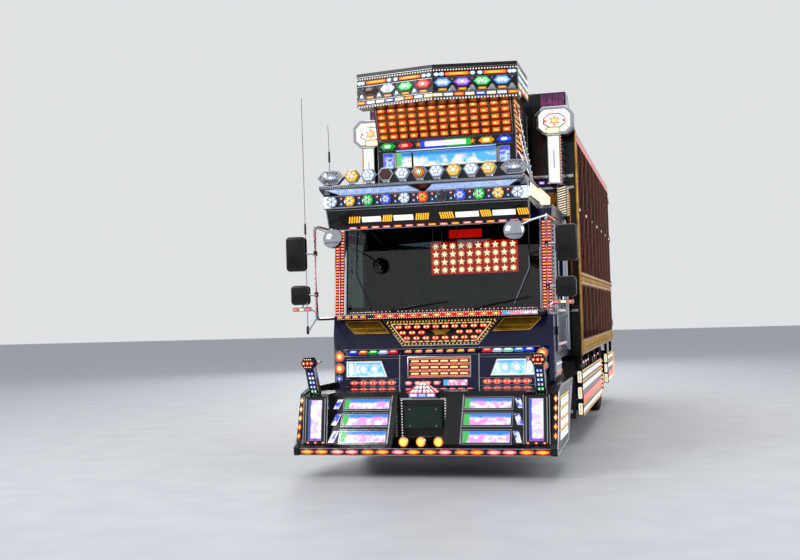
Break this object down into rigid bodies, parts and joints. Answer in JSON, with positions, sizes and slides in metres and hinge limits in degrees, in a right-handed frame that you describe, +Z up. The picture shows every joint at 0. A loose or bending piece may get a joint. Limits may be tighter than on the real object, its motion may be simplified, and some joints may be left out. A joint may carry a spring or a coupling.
{
  "type": "decorated box truck",
  "caption": "Medium-duty cab-over box truck dressed with lamp decks, roof tower, deep lit bumper, side guards and mirror-polished panels.",
  "frame": {"origin": "on the ground under the middle of the truck's length and width", "axes": "+Z up, the cab faces -Y, +X is the truck's left side"},
  "size_m": [2.67, 8.4, 3.745],
  "materials": {
    "frame_black": "satin black chassis paint",
    "axle_iron": "painted cast iron",
    "tyre_rubber": "road tyre rubber",
    "wheel_chrome": "chromed steel wheel",
    "tank_aluminium": "polished aluminium",
    "gloss_black": "gloss black paint",
    "cab_blue": "deep blue gloss paint",
    "chrome_trim": "mirror-polished stainless steel and chrome",
    "mirror_bronze": "mirror-polished bronze-tinted stainless sheet",
    "gilt": "gilt pressed metal",
    "roof_white": "white paint",
    "floor_wood": "hardwood boards on steel bearers",
    "mud_rubber": "black rubber",
    "lamp_white": "lit white acrylic",
    "lamp_amber": "lit amber acrylic",
    "lamp_red": "lit red acrylic",
    "head_lens": "clear lit lens",
    "clear_glass": "tinted safety glass",
    "dash_plastic": "moulded grained plastic",
    "seat_cloth": "wine-red woven cloth",
    "tower_shell": "dark lamp case"
  },
  "bodies": {
    "chassis": {"frame_rails": "frame_black", "frame_crossmembers": "frame_black", "propeller_shaft": "axle_iron", "floor_bearers": "frame_black", "engine_block": "axle_iron", "front_axle": "axle_iron", "rear_axle": "axle_iron", "leaf_springs": "axle_iron", "fuel_tank": "tank_aluminium", "chassis_boxes": "frame_black", "front_bumper": "gloss_black", "bumper_lamps": "lamp_white", "corner_poles": "chrome_trim", "side_steps": "chrome_trim", "cargo_floor": "floor_wood", "cargo_headboard": "mirror_bronze", "cargo_wall_left": "mirror_bronze", "cargo_wall_right": "mirror_bronze", "cargo_roof": "roof_white", "cargo_rear_frame": "chrome_trim", "headboard_lamps": "lamp_white", "roof_markers": "lamp_red", "side_bands": "gilt", "side_guards": "chrome_trim", "mudguards": "mud_rubber", "rear_bumper": "chrome_trim", "tail_lamps": "lamp_red"},
    "cab": {"cab_shell": "cab_blue", "front_panel": "cab_blue", "grille": "chrome_trim", "headlamps": "head_lens", "lamp_shield": "lamp_amber", "front_lip": "chrome_trim", "windscreen": "clear_glass", "visor_deck": "chrome_trim", "sun_visor": "gloss_black", "deck_lamps": "lamp_white", "roof_tower": "tower_shell", "tower_lamps": "lamp_amber", "tower_crown": "chrome_trim", "dashboard": "dash_plastic", "seats": "seat_cloth", "mirrors": "chrome_trim"},
    "cab_door_left": {"cab_door_left": "cab_blue", "door_glass_left": "clear_glass"},
    "cab_door_right": {"cab_door_right": "cab_blue", "door_glass_right": "clear_glass"},
    "rear_door_left": {"rear_door_left": "chrome_trim"},
    "rear_door_right": {"rear_door_right": "chrome_trim"},
    "knuckle_left": {"knuckle_left": "axle_iron"},
    "knuckle_right": {"knuckle_right": "axle_iron"},
    "tie_rod": {"tie_rod": "axle_iron"},
    "wheel_front_left": {"tyre_front_left": "tyre_rubber", "wheel_front_left": "wheel_chrome"},
    "wheel_front_right": {"tyre_front_right": "tyre_rubber", "wheel_front_right": "wheel_chrome"},
    "wheel_rear_left": {"tyre_rear_left": "tyre_rubber", "wheel_rear_left": "wheel_chrome"},
    "wheel_rear_right": {"tyre_rear_right": "tyre_rubber", "wheel_rear_right": "wheel_chrome"}
  },
  "joints": [
    {"name": "cab_tilt", "type": "hinge", "parent": "chassis", "child": "cab", "pos_m": [0, -3.4, 0.64], "axis": [1, 0, 0], "range_deg": [0, 30]},
    {"name": "cab_door_left_hinge", "type": "hinge", "parent": "cab", "child": "cab_door_left", "pos_m": [1.064, -3.087, 1.6], "axis": [0, 0, 1], "range_deg": [-70, 0]},
    {"name": "cab_door_right_hinge", "type": "hinge", "parent": "cab", "child": "cab_door_right", "pos_m": [-1.064, -3.087, 1.6], "axis": [0, 0, 1], "range_deg": [0, 70]},
    {"name": "rear_door_left_hinge", "type": "hinge", "parent": "chassis", "child": "rear_door_left", "pos_m": [1.16, 4.005, 2.1], "axis": [0, 0, 1], "range_deg": [-250, 0]},
    {"name": "rear_door_right_hinge", "type": "hinge", "parent": "chassis", "child": "rear_door_right", "pos_m": [-1.16, 4.005, 2.1], "axis": [0, 0, 1], "range_deg": [0, 250]},
    {"name": "steer_left", "type": "hinge", "parent": "chassis", "child": "knuckle_left", "pos_m": [0.79, -2.22, 0.42], "axis": [0, 0, 1], "range_deg": [-33, 33]},
    {"name": "steer_right", "type": "hinge", "parent": "chassis", "child": "knuckle_right", "pos_m": [-0.79, -2.22, 0.42], "axis": [0, 0, 1], "range_deg": [-33, 33]},
    {"name": "tie_rod_pivot", "type": "hinge", "parent": "knuckle_left", "child": "tie_rod", "pos_m": [0.74, -2.02, 0.34], "axis": [0, 0, 1], "range_deg": [-35.3, 35.3]},
    {"name": "wheel_front_left_spin", "type": "hinge", "parent": "knuckle_left", "child": "wheel_front_left", "pos_m": [0.895, -2.22, 0.42], "axis": [1, 0, 0], "continuous": true},
    {"name": "wheel_rear_left_spin", "type": "hinge", "parent": "chassis", "child": "wheel_rear_left", "pos_m": [0.83, 2.15, 0.42], "axis": [1, 0, 0], "continuous": true},
    {"name": "wheel_front_right_spin", "type": "hinge", "parent": "knuckle_right", "child": "wheel_front_right", "pos_m": [-0.895, -2.22, 0.42], "axis": [1, 0, 0], "continuous": true},
    {"name": "wheel_rear_right_spin", "type": "hinge", "parent": "chassis", "child": "wheel_rear_right", "pos_m": [-0.83, 2.15, 0.42], "axis": [1, 0, 0], "continuous": true}
  ],
  "couplings": [
    {"joint": "steer_right", "follows": "steer_left", "ratio": 1},
    {"joint": "tie_rod_pivot", "follows": "steer_left", "ratio": -1.0676}
  ]
}
